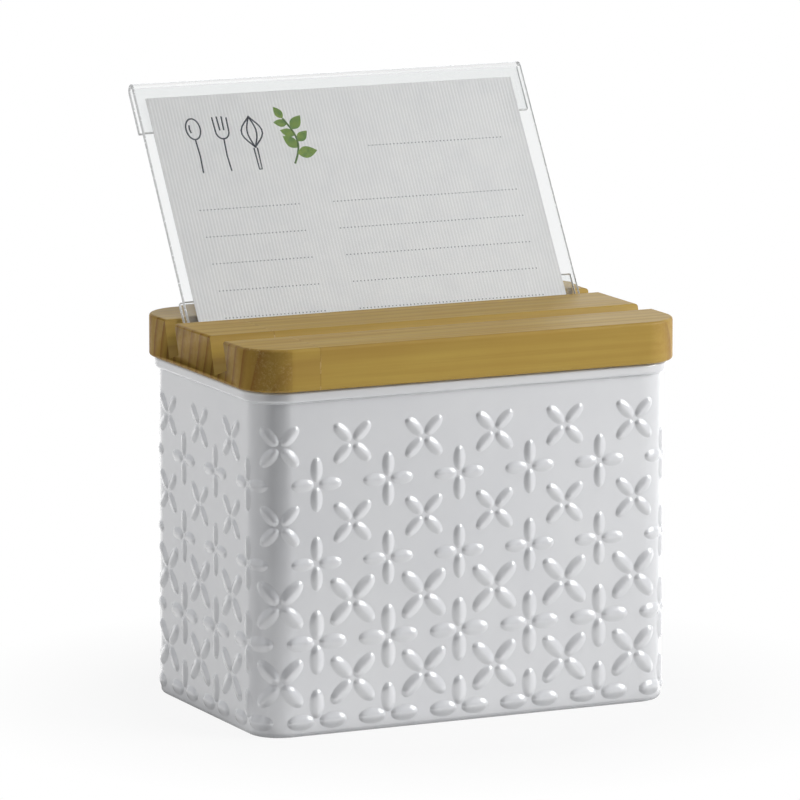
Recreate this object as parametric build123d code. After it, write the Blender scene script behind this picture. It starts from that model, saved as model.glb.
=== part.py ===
from build123d import *

import math
import os

# A recipe card box: a pressed steel box with a rolled rim, a loose slotted wooden lid,
# a clear holder that stands one card up in the lid's rear slot, and tabbed packs of
# cards inside. Millimetres. X runs along the front, +Y goes to the back, +Z is up, and
# the origin is the middle of the base's underside.

# ---- Driving dimensions: the cards and their dividers
CARD_WIDTH = 152.4
CARD_HEIGHT = 101.6
CARD_THICKNESS = 0.4
CARD_AIR = 0.08                # between two cards of a pack
CARDS_PER_PACK = 6
DIVIDER_THICKNESS = 0.6
PACK_COUNT = 8
PACK_GAP = 0.3                 # between two packs, and under the lowest edge
PACK_LEAN = 8.0                # degrees back from upright
TAB_HEIGHT = 12.7
TAB_WIDTH = 35.0
TAB_INSET = 2.0
TAB_CORNER = 4.0
TAB_COLUMNS = 4

# ---- Driving dimensions: the steel box
SHEET = 0.8
BASE_SEAT = 0.05               # between the base panel and the turned-in foot
FOOT_TURN = 4.0                # how far the wall's foot turns in under the base
SIDE_ROOM = 7.1                # from a card's end to the side wall
HEAD_ROOM = 5.8                # from the highest swing of a tab to the lid's plug
BOX_DEPTH = 102.0
BODY_CORNER = 12.5
FOOT_ROUND = 2.0
BEAD_REACH = 1.9
BEAD_HEIGHT = 4.5
BROWSE_STOP = 0.5              # kept from the front wall when the packs tip forward

# ---- Driving dimensions: the petals pressed out of the wall, four to a flower. Crosses
# ---- and pluses stand in staggered rows; the rows above the middle are the small ones.
FLOWER_COLUMNS = 18            # crosses round the wall, with a plus between each two
CROSS_ROWS = 4
LARGE_ROWS = 2                 # rows from the foot that have the large petals
FIRST_CROSS = 10.0             # from the middle of the front to the nearest cross
TOP_CROSS_DROP = 20.6          # from the rim's top to the middle of the top crosses
ROW_PITCH = 29.3
PETAL_GAP = 0.9                # from a flower's middle to its petals
SMALL_PETAL = 9.3
LARGE_PETAL = 11.2
PETAL_SLENDERNESS = 0.56       # a petal's width over its length
PETAL_RISE = 0.9
PETAL_SLOPE = 50.0             # degrees that a petal's flank leans in from upright
PETAL_ROOT = 1.6               # deep enough to reach the wall round its corners
PETAL_TRIM = 0.01              # kept between a flat petal's top and the trimming block

# ---- Driving dimensions: the lid
LID_OVERHANG = 1.9             # beyond the rim's bead
LID_THICKNESS = 15.8
LID_EASE = 1.1
PLUG_DEPTH = 7.0
PLUG_CLEARANCE = 0.6
SLOT_LEAN = 18.0               # degrees back from upright
SLOT_FLOOR = 1.8               # wood left under a slot's deepest corner
SLOT_EASE = 0.8
REAR_STRIP = 27.3
MIDDLE_STRIP = 31.9
PHONE_SLOT_WIDTH = 11.6

# ---- Driving dimensions: the card holder
HOLDER_LEAN = 32.0             # degrees back from upright
HOLDER_SHEET = 1.8
CARD_CHANNEL = 2.0
HOLDER_REACH = 4.8             # beyond each end of the card
HOLDER_SEAT = 0.25             # between the holder and the wood it rests on
CARD_SEAT = 0.3
CARD_TOP_ROOM = 4.6
BOTTOM_FLANGE = 21.2
TOP_FLANGE = 19.8

# ---- Worked out: the packs
pack_thickness = (
    DIVIDER_THICKNESS + CARDS_PER_PACK * (CARD_AIR + CARD_THICKNESS)
)
pack_lean = math.radians(PACK_LEAN)
pack_pitch = (pack_thickness + PACK_GAP) / math.cos(pack_lean)
divider_height = CARD_HEIGHT + TAB_HEIGHT
pivot_height = SHEET + PACK_GAP + pack_thickness * math.sin(pack_lean)
pack_swing = math.hypot(divider_height, pack_thickness)

# ---- Worked out: the box
inner_length = CARD_WIDTH + 2 * SIDE_ROOM
inner_depth = BOX_DEPTH - 2 * SHEET
inner_corner = BODY_CORNER - SHEET
box_length = inner_length + 2 * SHEET
plug_bottom = pivot_height + pack_swing + HEAD_ROOM
rim_top = plug_bottom + PLUG_DEPTH

# ---- Worked out: the lid and its slots
overhang = BEAD_REACH + LID_OVERHANG
lid_length = box_length + 2 * overhang
lid_depth = BOX_DEPTH + 2 * overhang
lid_corner = BODY_CORNER + overhang
lid_top = rim_top + LID_THICKNESS
slot_lean = math.radians(SLOT_LEAN)
slot_depth = (LID_THICKNESS - SLOT_FLOOR) / math.cos(slot_lean)

# ---- Worked out: the holder, whose rounded foot sits in the rear slot and whose back
# ---- leans on that slot's eased rear edge
holder_lean = math.radians(HOLDER_LEAN)
holder_thickness = CARD_CHANNEL + 2 * HOLDER_SHEET
holder_length = CARD_WIDTH + 2 * HOLDER_REACH
holder_height = CARD_SEAT + CARD_HEIGHT + CARD_TOP_ROOM + 2 * HOLDER_SHEET
foot_reach = holder_thickness / 2 + HOLDER_SEAT
extra_lean = holder_lean - slot_lean
holder_slot_width = (
    foot_reach
    - SLOT_EASE
    + (
        foot_reach
        + SLOT_EASE
        + (slot_depth - SLOT_EASE - foot_reach) * math.sin(extra_lean)
    )
    / math.cos(extra_lean)
)
holder_slot_y = lid_depth / 2 - REAR_STRIP
phone_slot_y = holder_slot_y - holder_slot_width / math.cos(slot_lean) - MIDDLE_STRIP
foot_across = holder_slot_width - foot_reach
foot_up = foot_reach - slot_depth
foot_y = holder_slot_y + foot_up * math.sin(slot_lean) - foot_across * math.cos(slot_lean)
foot_z = lid_top + foot_up * math.cos(slot_lean) + foot_across * math.sin(slot_lean)


def inner_reach(half_width):
    """Return how far back or forward the inside is clear at this distance along X."""
    into_corner = half_width - (inner_length / 2 - inner_corner)
    if into_corner <= 0:
        return inner_depth / 2
    return inner_depth / 2 - inner_corner + math.sqrt(inner_corner**2 - into_corner**2)


def pivot_y(index):
    """Return where a pack's front lower edge lies; pack 1 is the front one."""
    back_limit = inner_reach(CARD_WIDTH / 2) - PACK_GAP
    rear_edge = back_limit - CARD_HEIGHT * math.sin(pack_lean)
    last_pivot = rear_edge - pack_thickness * math.cos(pack_lean)
    return last_pivot - (PACK_COUNT - index) * pack_pitch


def browse_angle():
    """Return how far, in degrees, the front pack tips before its tab meets the wall."""
    room = inner_depth / 2 - BROWSE_STOP + pivot_y(1)
    return PACK_LEAN + math.degrees(math.asin(room / divider_height))


def rounded_block(length, depth, corner, bottom, top):
    """Return a block with rounded upright edges, centred on the Z axis."""
    outline = RectangleRounded(length, depth, corner)
    return Pos(0, 0, bottom) * extrude(outline, amount=top - bottom)


def foot_opening(seat):
    """Return the opening inside the turned-in foot, smaller by the seat all round."""
    inset = FOOT_TURN + seat
    return rounded_block(
        box_length - 2 * inset, BOX_DEPTH - 2 * inset, BODY_CORNER - inset, 0, SHEET
    )


def wall_spot(along):
    """Return the wall outline's point and outward direction this far round from the
    middle of the front, going to the right; the direction is an angle in radians."""
    runs = [box_length - 2 * BODY_CORNER, BOX_DEPTH - 2 * BODY_CORNER] * 2
    bend = BODY_CORNER * math.pi / 2
    left = (along + runs[0] / 2) % (sum(runs) + 4 * bend)
    x, y, heading = -runs[0] / 2, -BOX_DEPTH / 2, 0.0
    for run in runs:
        step = min(left, run)
        x += step * math.cos(heading)
        y += step * math.sin(heading)
        left -= step
        if left <= 0:
            break
        middle_x = x - BODY_CORNER * math.sin(heading)
        middle_y = y + BODY_CORNER * math.cos(heading)
        step = min(left, bend)
        heading += step / BODY_CORNER
        x = middle_x + BODY_CORNER * math.sin(heading)
        y = middle_y - BODY_CORNER * math.cos(heading)
        left -= step
        if left <= 0:
            break
    return x, y, heading - math.pi / 2


def petal(length):
    """Return one petal lying along X, raised along +Z from a root under the sheet."""
    half = length / 2
    spread = half * PETAL_SLENDERNESS
    near_side = ThreePointArc((-half, 0), (0, -spread), (half, 0))
    far_side = ThreePointArc((half, 0), (0, spread), (-half, 0))
    lens = make_face([near_side, far_side])
    raised = extrude(lens, amount=PETAL_RISE, taper=PETAL_SLOPE)
    root = extrude(lens, amount=PETAL_ROOT, dir=(0, 0, -1))
    return raised + root


def petal_trim():
    """Return the block whose skin the petals keep under, so that they bend round a corner."""
    reach = PETAL_RISE + PETAL_TRIM
    return rounded_block(
        box_length + 2 * reach, BOX_DEPTH + 2 * reach, BODY_CORNER + reach, 0, rim_top
    )


def flower(along, height, length, turn, trim):
    """Return a flower's petals on the wall; those that would cross the foot are left out."""
    petals = []
    blank = petal(length)
    for quarter in range(4):
        angle = math.radians(turn + 90 * quarter)
        inner, outer = PETAL_GAP * math.cos(angle), (PETAL_GAP + length) * math.cos(angle)
        reach = PETAL_GAP + length / 2
        middle_z = height + reach * math.sin(angle)
        if middle_z < FOOT_ROUND:
            continue
        x, y, outward = wall_spot(along + reach * math.cos(angle))
        beside = Vector(-math.sin(outward), math.cos(outward), 0)
        lengthwise = beside * math.cos(angle) + Vector(0, 0, 1) * math.sin(angle)
        facing = Vector(math.cos(outward), math.sin(outward), 0)
        seat = Plane(origin=(x, y, middle_z), x_dir=lengthwise, z_dir=facing)
        placed = seat * blank
        side = length * PETAL_SLENDERNESS / 2 * abs(math.sin(angle))
        ends = wall_spot(along + min(inner, outer) - side), wall_spot(along + max(inner, outer) + side)
        bends = abs(ends[0][2] - ends[1][2]) > 1e-6
        petals.append(placed & trim if bends else placed)
    return petals


def all_petals():
    """Return every petal of the staggered rows of crosses and pluses."""
    runs = 2 * (box_length + BOX_DEPTH - 4 * BODY_CORNER)
    pitch = (runs + 2 * math.pi * BODY_CORNER) / FLOWER_COLUMNS
    trim = petal_trim()
    petals = []
    for row in range(CROSS_ROWS):
        length = LARGE_PETAL if row >= CROSS_ROWS - LARGE_ROWS else SMALL_PETAL
        cross_z = rim_top - TOP_CROSS_DROP - row * ROW_PITCH
        plus_z = cross_z - ROW_PITCH / 2
        for column in range(FLOWER_COLUMNS):
            along = FIRST_CROSS + column * pitch
            petals += flower(along, cross_z, length, 45, trim)
            petals += flower(along + pitch / 2, plus_z, length, 0, trim)
    return petals


def box_wall():
    """The drawn wall with its petals, rolled rim bead and a foot turned in at the base."""
    wall = rounded_block(box_length, BOX_DEPTH, BODY_CORNER, 0, rim_top)
    wall = fillet(wall.edges().group_by(Axis.Z)[0], FOOT_ROUND)
    bead = rounded_block(
        box_length + 2 * BEAD_REACH,
        BOX_DEPTH + 2 * BEAD_REACH,
        BODY_CORNER + BEAD_REACH,
        rim_top - BEAD_HEIGHT,
        rim_top,
    )
    layers = bead.edges().group_by(Axis.Z)
    bead = fillet(layers[0] + layers[-1], 0.95 * min(BEAD_REACH, BEAD_HEIGHT / 2))
    hollow = rounded_block(inner_length, inner_depth, inner_corner, SHEET, rim_top + SHEET)
    hollow = fillet(hollow.edges().group_by(Axis.Z)[0], FOOT_ROUND - SHEET)
    return (wall + bead).fuse(*all_petals()) - hollow - foot_opening(0)


def box_base():
    """The flat base panel, welded flush inside the wall's turned-in foot."""
    return foot_opening(BASE_SEAT)


def slot_outline(rear_y, width):
    """Return one slanted slot as a face in the YZ section, running out of the top."""
    sine, cosine = math.sin(slot_lean), math.cos(slot_lean)
    overrun = LID_THICKNESS
    mouth = (rear_y + overrun * sine, lid_top + overrun * cosine)
    floor = (rear_y - slot_depth * sine, lid_top - slot_depth * cosine)
    across = (-width * cosine, width * sine)
    corners = [
        floor,
        mouth,
        (mouth[0] + across[0], mouth[1] + across[1]),
        (floor[0] + across[0], floor[1] + across[1]),
    ]
    return make_face(Polyline(*corners, close=True))


def lid_board():
    """The wooden board with the holder's slot and the phone's slot along it."""
    section = Pos(0, (rim_top + lid_top) / 2) * Rectangle(lid_depth, LID_THICKNESS)
    section -= slot_outline(holder_slot_y, holder_slot_width)
    section -= slot_outline(phone_slot_y, PHONE_SLOT_WIDTH)
    mouths = section.vertices().filter_by(
        lambda v: abs(v.Y - lid_top) < SLOT_EASE and abs(v.X) < lid_depth / 2 - LID_EASE
    )
    section = fillet(mouths, SLOT_EASE)
    slotted = extrude(Plane.YZ * section, amount=lid_length / 2, both=True)
    block = rounded_block(lid_length, lid_depth, lid_corner, rim_top, lid_top)
    layers = block.edges().group_by(Axis.Z)
    return fillet(layers[0] + layers[-1], LID_EASE) & slotted


def lid_plug():
    """The board under the lid that drops inside the rim and keeps the lid in place."""
    return rounded_block(
        inner_length - 2 * PLUG_CLEARANCE,
        inner_depth - 2 * PLUG_CLEARANCE,
        inner_corner - PLUG_CLEARANCE,
        plug_bottom,
        rim_top,
    )


def in_holder(shape):
    """Place a shape made upright about the holder's foot where the holder leans."""
    return Pos(0, foot_y, foot_z) * Rot(-HOLDER_LEAN, 0, 0) * shape


def card_holder():
    """One bent clear sheet: a full front leaf with a return flange at each end."""
    middle = (holder_height - holder_thickness) / 2
    foot = -holder_thickness / 2
    window_bottom = foot + BOTTOM_FLANGE
    window_top = foot + holder_height - TOP_FLANGE
    section = Pos(0, middle) * SlotOverall(holder_height, holder_thickness, rotation=90)
    section -= Pos(0, middle) * SlotOverall(
        holder_height - 2 * HOLDER_SHEET, CARD_CHANNEL, rotation=90
    )
    section -= Pos(holder_thickness / 2, (window_bottom + window_top) / 2) * Rectangle(
        holder_thickness, window_top - window_bottom
    )
    return in_holder(extrude(Plane.YZ * section, amount=holder_length / 2, both=True))


def card_blank(thickness):
    """Return one upright card, its lower front edge along the X axis."""
    return Pos(0, thickness / 2, CARD_HEIGHT / 2) * Box(CARD_WIDTH, thickness, CARD_HEIGHT)


def display_card():
    """The card on show, standing in the holder's channel."""
    return in_holder(
        Pos(0, -CARD_THICKNESS / 2, CARD_SEAT - CARD_CHANNEL / 2) * card_blank(CARD_THICKNESS)
    )


def in_pack(index, shape):
    """Place a shape made upright about a pack's lower front edge where it leans."""
    return Pos(0, pivot_y(index), pivot_height) * Rot(-PACK_LEAN, 0, 0) * shape


def tab_x(index):
    """Return the middle of a divider's tab, stepping across the columns in turn."""
    first = -CARD_WIDTH / 2 + TAB_INSET + TAB_WIDTH / 2
    step = -2 * first / (TAB_COLUMNS - 1)
    return first + (index - 1) % TAB_COLUMNS * step


def divider(index):
    """A stiff divider as wide as the cards, with a rounded tab above them."""
    tab_bottom = CARD_HEIGHT - TAB_CORNER
    tab_middle = (tab_bottom + divider_height) / 2
    tab = Pos(tab_x(index), tab_middle) * RectangleRounded(
        TAB_WIDTH, divider_height - tab_bottom, TAB_CORNER
    )
    outline = Pos(0, CARD_HEIGHT / 2) * Rectangle(CARD_WIDTH, CARD_HEIGHT) + tab
    return in_pack(index, extrude(Plane.XZ * outline, amount=-DIVIDER_THICKNESS))


def cards(index):
    """The cards filed behind one divider, each a solid of its own."""
    stack = []
    for place in range(CARDS_PER_PACK):
        front = DIVIDER_THICKNESS + CARD_AIR + place * (CARD_THICKNESS + CARD_AIR)
        stack.append(in_pack(index, Pos(0, front, 0) * card_blank(CARD_THICKNESS)))
    return Compound(children=stack)


def all_pieces():
    """Return every piece by its name."""
    pieces = {
        "box_wall": box_wall(),
        "box_base": box_base(),
        "lid_board": lid_board(),
        "lid_plug": lid_plug(),
        "card_holder": card_holder(),
        "display_card": display_card(),
    }
    for index in range(1, PACK_COUNT + 1):
        pieces[f"divider_{index}"] = divider(index)
        pieces[f"cards_{index}"] = cards(index)
    return pieces


def print_places():
    """Print the sizes and joint places that anyone placing this box needs."""
    print(f"box {box_length:.3f} x {BOX_DEPTH:.3f}, rim {rim_top:.3f}")
    print(f"lid {lid_length:.3f} x {lid_depth:.3f}, top {lid_top:.3f}, plug {plug_bottom:.3f}")
    print(f"holder slot rear {holder_slot_y:.3f}, width {holder_slot_width:.3f}")
    print(f"phone slot rear {phone_slot_y:.3f}, width {PHONE_SLOT_WIDTH:.3f}")
    print(f"slot depth {slot_depth:.3f}, holder foot y {foot_y:.3f} z {foot_z:.3f}")
    print(f"holder {holder_length:.3f} x {holder_height:.3f} x {holder_thickness:.3f}")
    print(f"pack thickness {pack_thickness:.3f}, browse angle {browse_angle():.3f}")
    for index in range(1, PACK_COUNT + 1):
        print(f"pack {index} pivot y {pivot_y(index):.3f} z {pivot_height:.3f}")


os.makedirs("parts", exist_ok=True)
for piece_name, piece in all_pieces().items():
    export_step(piece, f"parts/{piece_name}.step")
print_places()
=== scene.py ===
import logging
import math
from dataclasses import dataclass
from enum import Enum
from itertools import pairwise
from typing import Iterable, Sequence

import bmesh
import bpy
import numpy as np
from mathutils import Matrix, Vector
from mathutils.geometry import delaunay_2d_cdt


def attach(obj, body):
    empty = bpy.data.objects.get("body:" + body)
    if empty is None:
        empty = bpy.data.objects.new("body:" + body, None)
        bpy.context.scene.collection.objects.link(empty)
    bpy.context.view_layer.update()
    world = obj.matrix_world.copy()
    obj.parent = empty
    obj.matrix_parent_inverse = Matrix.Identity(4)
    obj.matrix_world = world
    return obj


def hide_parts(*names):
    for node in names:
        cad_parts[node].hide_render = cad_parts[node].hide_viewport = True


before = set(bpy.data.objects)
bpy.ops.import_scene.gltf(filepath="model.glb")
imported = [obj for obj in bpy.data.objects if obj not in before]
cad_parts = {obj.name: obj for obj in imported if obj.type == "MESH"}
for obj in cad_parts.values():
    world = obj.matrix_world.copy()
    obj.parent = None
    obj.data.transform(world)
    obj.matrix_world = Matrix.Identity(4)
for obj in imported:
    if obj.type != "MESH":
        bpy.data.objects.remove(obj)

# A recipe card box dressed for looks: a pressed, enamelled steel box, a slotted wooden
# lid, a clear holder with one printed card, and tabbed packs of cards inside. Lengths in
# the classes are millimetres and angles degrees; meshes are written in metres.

Socket = bpy.types.NodeSocket
Material = bpy.types.Material
Piece = bpy.types.Object
Colour = tuple[float, float, float, float]
Point = tuple[float, float]
Place = tuple[float, float, float]
Station = tuple[float, float, float, float]
Fade = tuple[float, float, float, float]
Face = tuple[int, ...]
Row = list[int]

MM = 0.001
WHITE: Colour = (1.0, 1.0, 1.0, 1.0)
ACRYLIC_IOR = 1.49
SHEET_EDGE = math.radians(30)
WOOD_EDGE = math.radians(40)
WELD = 1e-6
STRIP_WELD = 2e-6
LOG = logging.getLogger("card_box")


def tone(red: int, green: int, blue: int) -> Colour:
    """Turn a colour as read off a screen into the linear values that shaders take.

    Args:
        red, green, blue: The colour's parts, from 0 to 255.

    Returns:
        The linear colour with full alpha.
    """
    parts = [part / 255 for part in (red, green, blue)]
    linear = [p / 12.92 if p <= 0.04045 else ((p + 0.055) / 1.055) ** 2.4 for p in parts]
    return (linear[0], linear[1], linear[2], 1.0)


class Tree:
    """Adds nodes to one node tree; plain values go on the sockets, sockets are linked."""

    def __init__(self, tree: bpy.types.NodeTree) -> None:
        """Keep the tree that the nodes go into."""
        self.tree = tree

    def add(self, kind: str, inputs: dict | None = None, **settings: object) -> bpy.types.Node:
        """Add one node.

        Args:
            kind: The node's type name, which leaves ShaderNode out if it starts with it.
            inputs: Values or sockets for its inputs, by name or by number.
            **settings: Properties of the node, set before its inputs.

        Returns:
            The new node.
        """
        node = self.tree.nodes.new(kind if "Node" in kind else "ShaderNode" + kind)
        for name, value in settings.items():
            setattr(node, name, value)
        for key, value in (inputs or {}).items():
            if isinstance(value, Socket):
                self.tree.links.new(value, node.inputs[key])
            else:
                node.inputs[key].default_value = value
        return node

    def out(self, kind: str, inputs: dict | None = None, **settings: object) -> Socket:
        """Add one node as add does, and return its first output."""
        return self.add(kind, inputs, **settings).outputs[0]

    def split(self, vector: Socket) -> Sequence[Socket]:
        """Return a vector's three parts."""
        return self.add("SeparateXYZ", {0: vector}).outputs

    def maths(self, operation: str, *values: float | Socket) -> Socket:
        """Return the socket of one operation on these values or sockets."""
        return self.out("Math", dict(enumerate(values)), operation=operation)

    def plus(self, value: float | Socket, other: float | Socket) -> Socket:
        """Return the socket of a sum."""
        return self.maths("ADD", value, other)

    def minus(self, value: float | Socket, taken: float | Socket) -> Socket:
        """Return the socket of a difference."""
        return self.maths("SUBTRACT", value, taken)

    def times(self, product: float | Socket, *others: float | Socket) -> Socket:
        """Multiply values or sockets from left to right.

        Args:
            product: The first of them.
            *others: The rest.

        Returns:
            The product's socket.
        """
        for other in others:
            product = self.maths("MULTIPLY", product, other)
        return product

    def held(self, value: Socket, low: float, high: float | Socket) -> Socket:
        """Return the socket of a value held between two limits."""
        return self.maths("MINIMUM", self.maths("MAXIMUM", value, low), high)

    def between(
        self, value: Socket, low: float, high: float, to_low: float, to_high: float | Socket
    ) -> Socket:
        """Map a value from one range to another, held at its ends, and return the socket."""
        inputs = {0: value, 1: low, 2: high, 3: to_low, 4: to_high}
        return self.out("MapRange", inputs, clamp=True)


class Shader(Tree):
    """The node tree of one procedural material."""

    def __init__(self, name: str) -> None:
        """Start an empty material.

        Args:
            name: The material's name.
        """
        self.material = bpy.data.materials.new(name)
        self.material.use_nodes = True
        super().__init__(self.material.node_tree)
        self.tree.nodes.clear()
        self.output = self.add("OutputMaterial")
        self.place = self.add("TexCoord").outputs["Object"]

    def scaled(self, *scale: float) -> Socket:
        """Return Object coordinates scaled along each axis, so that a pattern can stretch."""
        return self.out("Mapping", {"Vector": self.place, "Scale": scale})

    def noise(self, place: Socket, scale: float, detail: float = 2.0, rough: float = 0.5) -> Socket:
        """Return the socket of a noise pattern."""
        inputs = {"Vector": place, "Scale": scale, "Detail": detail, "Roughness": rough}
        return self.out("TexNoise", inputs)

    def ramp(self, value: Socket, stops: Sequence[tuple[float, Colour]]) -> Socket:
        """Turn a value into a colour.

        Args:
            value: The value's socket.
            stops: Positions and colours, from low to high.

        Returns:
            The colour's socket.
        """
        node = self.add("ValToRGB", {"Fac": value})
        elements = node.color_ramp.elements
        while len(elements) < len(stops):
            elements.new(0.5)
        for element, (position, colour) in zip(elements, stops):
            element.position = position
            element.color = colour
        return node.outputs["Color"]

    def mix(self, factor: Socket, low: Colour | Socket, high: Colour | Socket) -> Socket:
        """Mix two colours by a factor and return the socket."""
        inputs = {0: factor, 6: low, 7: high}
        return self.add("Mix", inputs, data_type="RGBA").outputs[2]

    def bump(self, height: Socket, distance: float, strength: float, **normal: Socket) -> Socket:
        """Return the normal bumped by a height in metres, over a Normal if one is given."""
        inputs = {"Height": height, "Distance": distance, "Strength": strength} | normal
        return self.out("Bump", inputs)

    def show(self, surface: Socket) -> None:
        """Let the material show this surface."""
        self.tree.links.new(surface, self.output.inputs["Surface"])

    def surface(self, **inputs: float | Colour | Socket) -> Socket:
        """Show the Principled shader.

        Args:
            **inputs: Its inputs, with underscores for spaces.

        Returns:
            The shader's socket.
        """
        named = {key.replace("_", " "): value for key, value in inputs.items()}
        principled = self.out("BsdfPrincipled", named)
        self.show(principled)
        return principled


@dataclass(frozen=True)
class Finish:
    """What every procedural finish has: a name, and a material that it paints."""

    name: str

    def build(self) -> Material:
        """Make the material.

        Returns:
            The material, painted.
        """
        shader = Shader(self.name)
        self.paint(shader)
        return shader.material

    def paint(self, shader: Shader) -> None:
        """Add the finish's own nodes."""
        raise NotImplementedError


@dataclass(frozen=True)
class Enamel(Finish):
    """White vitreous enamel on steel: glossy, with the faint unevenness of a fired coat."""

    name: str = "white_enamel"
    light: Colour = tone(226, 227, 229)
    shade: Colour = tone(221, 222, 225)

    def paint(self, shader: Shader) -> None:
        """Cloud the coat's colour and gloss, and ripple it.

        Args:
            shader: The material's tree.
        """
        cloud = shader.noise(shader.place, 34.0, 3.0)
        ripple = shader.noise(shader.place, 260.0, 1.0)
        shader.surface(
            Base_Color=shader.ramp(cloud, [(0.3, self.shade), (0.7, self.light)]),
            Roughness=shader.between(cloud, 0.3, 0.7, 0.13, 0.19),
            Normal=shader.bump(ripple, 0.00002, 0.35),
            Coat_Weight=0.4,
            Coat_Roughness=0.06,
        )


@dataclass(frozen=True)
class Pine(Finish):
    """Stained pine, its growth lines planes along X that stand nearly upright."""

    early: Colour
    late: Colour
    stain: Colour
    torn: Colour = tone(202, 172, 112)
    ring_pitch: float = 6.4
    ring_slant: float = 0.24
    ring_wander: float = 0.016
    joints: tuple[float, ...] = ()
    joint_shift: float = 3.7

    def rings(self, shader: Shader, place: Sequence[Socket]) -> Socket:
        """Draw the growth lines, shifted from block to block.

        Args:
            shader: The material's tree.
            place: The three Object coordinates.

        Returns:
            A grey that says how late in its year the wood grew.
        """
        x, y, z = place
        block = 0.0
        for joint in self.joints:
            step = shader.maths("GREATER_THAN", x, joint * MM)
            block = shader.maths("MULTIPLY_ADD", step, self.joint_shift, block)
        drift = shader.noise(shader.scaled(2.2, 14.0, 14.0), 1.0)
        slant = shader.maths("MULTIPLY_ADD", z, self.ring_slant, y)
        wander = shader.maths("MULTIPLY_ADD", drift, self.ring_wander, slant)
        count = shader.maths("MULTIPLY_ADD", wander, 1 / (self.ring_pitch * MM), block)
        greys = [(0.0, 0.05), (0.45, 0.0), (0.82, 0.75), (0.92, 1.0), (1.0, 0.1)]
        stops = [(at, (grey, grey, grey, 1.0)) for at, grey in greys]
        return shader.ramp(shader.maths("FRACT", count), stops)

    def seams(self, shader: Shader, x: Socket, body: Socket) -> Socket:
        """Draw a dark, partly torn glue line at every joint.

        Args:
            shader: The material's tree.
            x: The place along the board.
            body: The wood's colour.

        Returns:
            The colour with its seams.
        """
        for joint in self.joints:
            off = shader.maths("ABSOLUTE", shader.minus(x, joint * MM))
            seam = shader.between(off, 0.0001, 0.00035, 1.0, 0.0)
            broken = shader.between(shader.noise(shader.place, 480.0), 0.48, 0.56, 0.0, 0.7)
            body = shader.mix(shader.times(seam, 0.35), body, self.late)
            body = shader.mix(shader.times(seam, broken), body, self.torn)
        return body

    def paint(self, shader: Shader) -> None:
        """Lay rings, fibres and figure, darken the end grain and speckle the turned corner.

        Args:
            shader: The material's tree.
        """
        place = shader.split(shader.place)
        fibre = shader.noise(shader.scaled(9.0, 520.0, 520.0), 1.0, 4.0, 0.6)
        figure = shader.noise(shader.scaled(26.0, 60.0, 70.0), 1.0, 3.0, 0.55)
        normal = shader.add("NewGeometry").outputs["True Normal"]
        facing = shader.maths("ABSOLUTE", shader.split(normal)[0])
        end_grain = shader.between(facing, 0.35, 0.9, 0.0, 1.0)
        strength = shader.between(end_grain, 0.0, 1.0, 0.3, 1.0)
        line = shader.times(self.rings(shader, place), strength)
        body = shader.mix(line, self.early, self.late)
        body = shader.mix(shader.between(fibre, 0.35, 0.7, 0.0, 0.22), body, self.late)
        body = shader.mix(shader.between(figure, 0.35, 0.75, 0.0, 0.35), body, self.stain)
        body = shader.mix(shader.times(end_grain, 0.36), body, self.late)
        body = self.seams(shader, place[0], body)
        turning = shader.times(
            shader.between(facing, 0.1, 0.16, 0.0, 1.0),
            shader.between(facing, 0.72, 0.9, 1.0, 0.0),
            shader.between(place[0], -0.01, 0.01, 1.0, 0.15),
        )
        body = shader.mix(shader.times(turning, 0.3), body, self.late)
        speckle = shader.noise(shader.place, 900.0, 3.0, 0.75)
        cluster = shader.between(shader.noise(shader.place, 75.0, 1.0), 0.38, 0.62, 0.12, 1.0)
        cluster = shader.times(cluster, turning)
        spotted = shader.times(shader.between(speckle, 0.5, 0.64, 0.0, 0.6), cluster)
        shader.surface(
            Base_Color=shader.mix(spotted, body, self.torn),
            Roughness=shader.between(fibre, 0.3, 0.7, 0.42, 0.56),
            Normal=shader.bump(shader.plus(fibre, spotted), 0.0001, 0.6),
            Specular_IOR_Level=shader.between(end_grain, 0.0, 1.0, 0.28, 0.08),
        )


@dataclass(frozen=True)
class Acrylic(Finish):
    """Clear bent acrylic with a breath of fine scuffing; lamps shine through it."""

    name: str = "clear_acrylic"
    tint: Colour = tone(246, 247, 247)
    passed: Colour = tone(250, 251, 251)

    def paint(self, shader: Shader) -> None:
        """Refract what is seen, and let the lamps' light pass straight.

        Args:
            shader: The material's tree.
        """
        scuff = shader.noise(shader.scaled(40.0, 40.0, 400.0), 1.0, 3.0)
        glass = shader.surface(
            Base_Color=self.tint,
            Roughness=shader.between(scuff, 0.45, 0.8, 0.0, 0.05),
            IOR=ACRYLIC_IOR,
            Transmission_Weight=1.0,
        )
        clear = shader.out("BsdfTransparent", {"Color": self.passed})
        lamp_ray = shader.add("LightPath").outputs["Is Shadow Ray"]
        shader.show(shader.out("MixShader", {0: lamp_ray, 1: glass, 2: clear}))


@dataclass(frozen=True)
class CutEdge(Finish):
    """The sawn and polished edge of clear acrylic, which gathers light and looks white: its white is partly
    the saw's frosting and partly painted light.
    """

    name: str = "acrylic_cut_edge"
    colour: Colour = tone(250, 251, 251)

    def paint(self, shader: Shader) -> None:
        """Leave the saw's marks in the gloss.

        Args:
            shader: The material's tree.
        """
        saw = shader.noise(shader.scaled(900.0, 900.0, 900.0), 1.0)
        shader.surface(
            # Painted light: the near-white colour stands partly for the light the edge gathers.
            Base_Color=self.colour,
            Roughness=shader.between(saw, 0.3, 0.7, 0.15, 0.3),
            IOR=ACRYLIC_IOR,
            Transmission_Weight=0.35,
        )


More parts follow.
